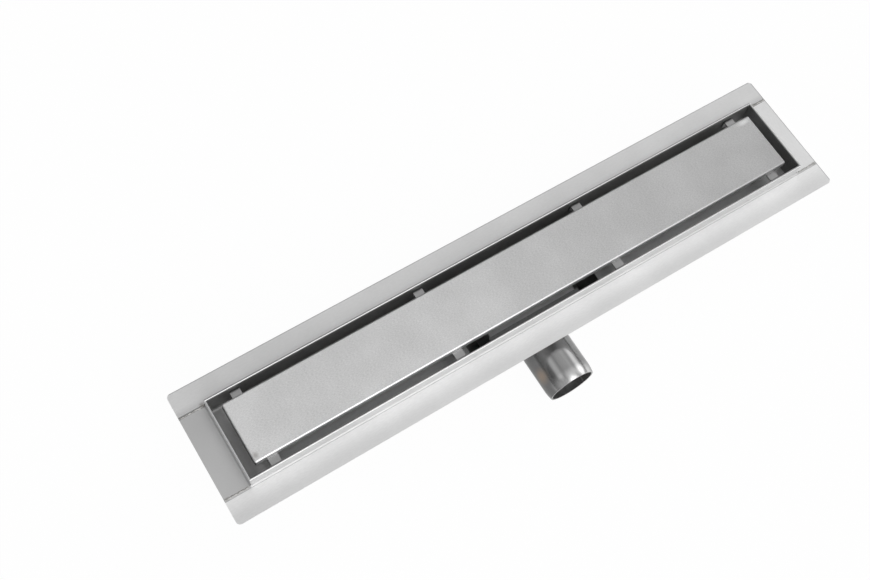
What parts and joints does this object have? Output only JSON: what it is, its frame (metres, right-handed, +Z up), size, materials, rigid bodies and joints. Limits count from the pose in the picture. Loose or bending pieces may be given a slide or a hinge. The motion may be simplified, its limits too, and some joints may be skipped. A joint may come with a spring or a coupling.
{
  "type": "linear shower drain",
  "caption": "Long stainless shower channel with a bonding flange, a flush closed lid on lugs, and a central sump with a lift-out bell trap and a side outlet pipe.",
  "frame": {"origin": "middle of the sump's flat underside, which the drain stands on", "axes": "+X along the channel, -Y out of the outlet pipe, +Z up through the lid"},
  "size_m": [0.65, 0.1655, 0.085],
  "materials": {
    "body_steel": "smooth cold-rolled stainless sheet, satin",
    "lid_steel": "fine brushed stainless, grain along the lid",
    "pipe_steel": "polished stainless tube with a faint heat tint",
    "sump_steel": "plain stainless sheet",
    "lug_steel": "plain stainless sheet",
    "bell_steel": "plain stainless sheet",
    "spring_steel": "hard-rolled stainless strip",
    "gasket_rubber": "matt black rubber"
  },
  "bodies": {
    "root": {"bell_gasket": "gasket_rubber", "bell_handle": "bell_steel", "bell_spring": "spring_steel", "channel_body": "body_steel", "end_piece_left": "body_steel", "end_piece_right": "body_steel", "lid": "lid_steel", "lid_rest_back_1": "lug_steel", "lid_rest_back_2": "lug_steel", "lid_rest_back_3": "lug_steel", "lid_rest_back_4": "lug_steel", "lid_rest_front_1": "lug_steel", "lid_rest_front_2": "lug_steel", "lid_rest_front_3": "lug_steel", "lid_rest_front_4": "lug_steel", "outlet_pipe": "pipe_steel", "sump_cheek_left": "sump_steel", "sump_cheek_right": "sump_steel", "sump_shell": "sump_steel", "trap_bell": "bell_steel", "weir_plate": "sump_steel"}
  },
  "joints": []
}
